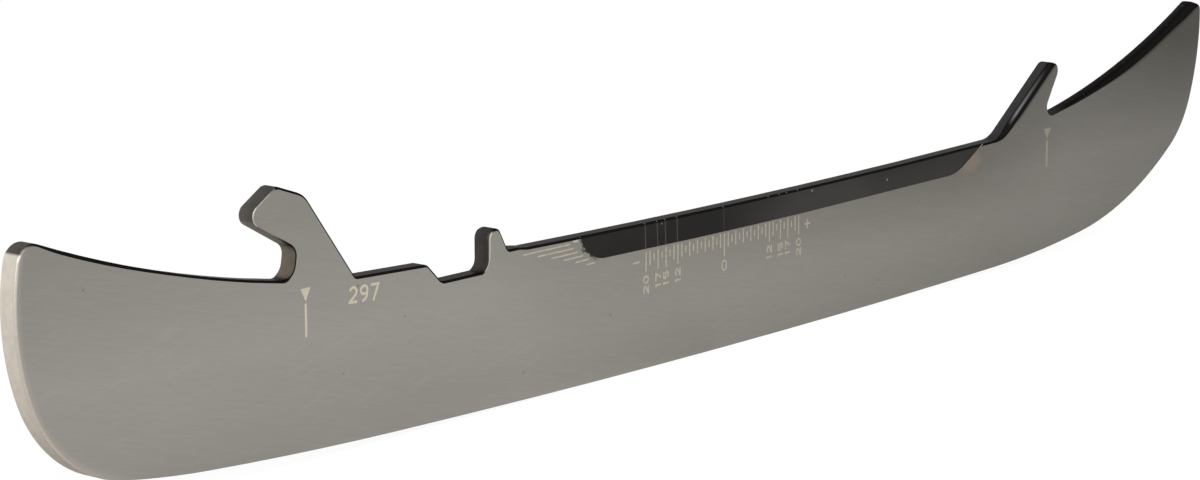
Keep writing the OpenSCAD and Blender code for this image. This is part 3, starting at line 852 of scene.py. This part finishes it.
def stations(outline, ends):
    # the outline in short steps, with the relief's two ends among them: place, outward direction, is it an end
    normals = chainNormals(outline, True)
    out = []
    for i, (a, b) in enumerate(zip(outline, outline[1:] + outline[:1])):
        na, nb = normals[i], normals[(i + 1) % len(outline)]
        length = (b - a).length
        count = max(math.ceil(length / plateLook["step"]), 1)
        shares = {k / count: None for k in range(count)}
        for end in ends:
            share = (end - a).dot(b - a) / length ** 2
            if 0 <= share < 1 and (a.lerp(b, share) - end).length < tiny:
                shares = {s: e for s, e in shares.items() if abs(s - share) * length > 0.05}
                shares[share] = end
        out += [(a.lerp(b, s), na.lerp(nb, s).normalized(), shares[s] is not None) for s in sorted(shares)]
    return out


def makeRim(shell, half, stops, relief, reliefLevel):
    # the narrow sides with both edge breaks, and where the near break ends on the face
    left, right = sorted((relief[0].x, relief[-1].x))
    count = plateLook["segments"]
    turns = [math.pi / 2 * k / count for k in range(count + 1)]
    insets = []
    sections = []  # the rows of points across each station, before and after a jump in level
    for place, outward, isEnd in stops:
        width, farWidth = breakWidths(place, outward)
        inward = -outward * width
        if isEnd:
            along = relief[1] if (place - relief[0]).length < 10 * tiny else relief[-2]
            along = (along - place).normalized()
            inward = along * width / abs(along.dot(outward))
        insets.append(place + inward)
        side = Vector((outward.x, 0, outward.y))
        cut = left < place.x < right and place.y > breakZones["reliefSide"]
        levels = [False, True] if isEnd else [cut]
        if isEnd and sections and sections[-1][-1][1]:
            levels.reverse()
        rows = []
        for cut in levels:
            row = []
            for turn in turns:
                corner = place + inward * (1 - math.sin(turn))
                level = (reliefLevel(corner) if cut else -half) + width * (1 - math.cos(turn))
                row.append(shell.point(corner, level, markedSide * math.cos(turn) + side * math.sin(turn)))
            for turn in turns:
                corner = place - outward * farWidth * (1 - math.cos(turn))
                level = half - farWidth * (1 - math.sin(turn))
                row.append(shell.point(corner, level, plainSide * math.sin(turn) + side * math.cos(turn)))
            rows.append((row, cut))
        sections.append(rows)
    for rows, following in zip(sections, sections[1:] + sections[:1]):
        a, b = rows[-1][0], following[0][0]
        for k in range(2 * count + 1):
            shell.face((a[k], b[k], b[k + 1], a[k + 1]), "edge" if k == count else "arris")
    print("plate's rim made in", len(sections), "steps")
    return insets


def makePlainSide(shell, half, stops):
    corners = [shell.point(place - outward * breakWidths(place, outward)[1], half, plainSide)
               for place, outward, _ in stops]
    for cell in mathutils.geometry.tessellate_polygon([[shell.points[i].xz.to_3d() for i in corners]]):
        shell.face(tuple(corners[c] for c in cell), "face")


def makeMarkedSide(shell, half, insets, marks, relief, reliefLevel):
    # the face, left open where the marks lie, and the relief's floor
    above = Vector((0, 3))  # mm, which takes the relief's cover past the outline
    cover = [relief[0] + above] + relief + [relief[-1] + above]
    loops = [insets, cover if signedArea(cover) > 0 else cover[::-1]] + marks
    coords, faces = [], []
    for loop in loops:
        faces.append(list(range(len(coords), len(coords) + len(loop))))
        coords += loop
    places, _, cells, _, _, owners = mathutils.geometry.delaunay_2d_cdt(coords, [], faces, 1, 1e-7)
    onFace = {}
    onFloor = {}
    origin = reliefLevel(Vector((0, 0)))
    floorNormal = Vector((reliefLevel(Vector((1, 0))) - origin, -1, reliefLevel(Vector((0, 1))) - origin))
    for cell, owner in zip(cells, owners):
        if 0 not in owner or sum(o > 1 for o in owner) % 2:
            continue
        isFloor = 1 in owner
        known = onFloor if isFloor else onFace
        for corner in cell:
            if corner not in known:
                place = places[corner]
                known[corner] = (shell.point(place, reliefLevel(place), floorNormal) if isFloor
                                 else shell.point(place, -half, markedSide))
        shell.face(tuple(known[c] for c in cell), "relief" if isFloor else "face")


def makeReliefWall(shell, half, relief, reliefLevel):
    wallNormals = chainNormals(relief, False)
    middle = sum((r for r in relief), Vector((0, 0))) / len(relief) + Vector((0, 2))
    flip = 1 if wallNormals[len(relief) // 2].dot(middle - relief[len(relief) // 2]) > 0 else -1
    wall = []
    for place, normal in zip(relief, wallNormals):
        facing = Vector((normal.x, 0, normal.y)) * flip
        wall.append((shell.point(place, -half, facing), shell.point(place, reliefLevel(place), facing)))
    for a, b in zip(wall, wall[1:]):
        shell.face((a[0], b[0], b[1], a[1]), "relief")


def makePlate():
    half, outline, marks, relief, reliefLevel = readPlate()
    shell = Shell()
    stops = stations(outline, (relief[0], relief[-1]))
    insets = makeRim(shell, half, stops, relief, reliefLevel)
    makePlainSide(shell, half, stops)
    makeMarkedSide(shell, half, insets, marks, relief, reliefLevel)
    makeReliefWall(shell, half, relief, reliefLevel)
    piece = bpy.data.objects.new("steelPlate", shell.mesh("steelPlate"))
    collection.objects.link(piece)
    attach(piece, "root")
    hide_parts("runner_blade")
    return piece


plate = makePlate()
print("plate made:", len(plate.data.polygons), "faces")

for name, node in nodes.items():
    if name != "runner_blade":
        node.data.materials.clear()
        node.data.materials.append(materials["mark"])
print("marks dressed")

# lengths in mm, angles in degrees; the focal length in pixels is that of a picture 1200 wide
cameraLook = {"aim": (-30.83, -1.45, 22.32), "azimuth": -50.2327, "elevation": 10.9956, "roll": -0.0681,
              "distance": 547.72, "focalPixels": 3558.04, "pictureWidth": 1200, "sensorWidth": 36}


def makeCamera():
    look = cameraLook
    a, e = math.radians(look["azimuth"]), math.radians(look["elevation"])
    back = Vector((math.sin(a) * math.cos(e), -math.cos(a) * math.cos(e), math.sin(e)))
    data = bpy.data.cameras.new("photoCamera")
    data.sensor_width = look["sensorWidth"]
    data.lens = look["focalPixels"] / look["pictureWidth"] * look["sensorWidth"]
    data.clip_start, data.clip_end = 0.01, 20
    camera = bpy.data.objects.new("photoCamera", data)
    camera.rotation_mode = "QUATERNION"
    camera.location = (Vector(look["aim"]) + back * look["distance"]) * mm
    turn = (-back).to_track_quat("-Z", "Y").to_matrix() @ Matrix.Rotation(math.radians(look["roll"]), 3, "Z")
    camera.rotation_quaternion = turn.to_quaternion()
    collection.objects.link(camera)
    bpy.context.scene.camera = camera


white = (1, 1, 1, 1)
stageLook = {
    "floorSize": 6.0,  # m
    "floorColour": (0.8, 0.8, 0.8, 1),
    "shadowColour": (0.15, 0.15, 0.15, 1),  # the seen floor's part that takes shadows; the rest glows
    "glow": 0.9,
    "ambient": 0.6,
    "backdrop": 1.0,
}


def seenRay(graph):
    # rays that come straight from the camera or off a glossy surface
    path = graph.add("ShaderNodeLightPath").outputs
    seen = graph.math("MAXIMUM", path["Is Camera Ray"], path["Is Glossy Ray"])
    return graph.math("MAXIMUM", seen, path["Is Transmission Ray"])


def makeFloor():
    look = stageLook
    size = look["floorSize"] / 2
    mesh = bpy.data.meshes.new("floor")
    mesh.from_pydata([(-size, -size, 0), (size, -size, 0), (size, size, 0), (-size, size, 0)], [], [(0, 1, 2, 3)])
    floor = bpy.data.objects.new("floor", mesh)
    collection.objects.link(floor)
    material = bpy.data.materials.new("paleFloor")
    material.use_nodes = True
    material.node_tree.nodes.clear()
    graph = Graph(material.node_tree)
    matte = graph.add("ShaderNodeBsdfDiffuse", {"Color": look["floorColour"]})
    faint = graph.add("ShaderNodeBsdfDiffuse", {"Color": look["shadowColour"]})
    glow = graph.add("ShaderNodeEmission", {"Color": white, "Strength": look["glow"]})
    shown = graph.add("ShaderNodeAddShader")
    graph.link(glow.outputs[0], shown.inputs[0])
    graph.link(faint.outputs[0], shown.inputs[1])
    mix = graph.add("ShaderNodeMixShader", {"Fac": seenRay(graph)})
    graph.link(matte.outputs[0], mix.inputs[1])
    graph.link(shown.outputs[0], mix.inputs[2])
    graph.link(mix.outputs[0], graph.add("ShaderNodeOutputMaterial").inputs["Surface"])
    mesh.materials.append(material)


def makeWorld():
    look = stageLook
    world = bpy.data.worlds.new("studio")
    world.use_nodes = True
    world.node_tree.nodes.clear()
    graph = Graph(world.node_tree)
    around = graph.add("ShaderNodeBackground", {"Color": white, "Strength": look["ambient"]})
    shown = graph.add("ShaderNodeBackground", {"Color": white, "Strength": look["backdrop"]})
    mix = graph.add("ShaderNodeMixShader", {"Fac": seenRay(graph)})
    graph.link(around.outputs[0], mix.inputs[1])
    graph.link(shown.outputs[0], mix.inputs[2])
    graph.link(mix.outputs[0], graph.add("ShaderNodeOutputWorld").inputs["Surface"])
    bpy.context.scene.world = world


# places and sizes in m, powers in W
lamps = [
    {"name": "frontSoftbox", "place": (-0.6, -1.4, 1.1), "size": 1.4, "power": 12},
    {"name": "leftSoftbox", "place": (-1.5, -0.4, 0.7), "size": 1.0, "power": 7},
]
lampAim = Vector((0, 0, 0.02))


def makeLamps():
    for lamp in lamps:
        data = bpy.data.lights.new(lamp["name"], "AREA")
        data.shape = "SQUARE"
        data.size = lamp["size"]
        data.energy = lamp["power"]
        light = bpy.data.objects.new(lamp["name"], data)
        light.location = lamp["place"]
        light.rotation_mode = "QUATERNION"
        light.rotation_quaternion = (lampAim - light.location).to_track_quat("-Z", "Y")
        collection.objects.link(light)


makeCamera()
makeFloor()
makeWorld()
makeLamps()
bpy.context.scene.view_settings.view_transform = "Standard"
print("camera, stage and lamps made")
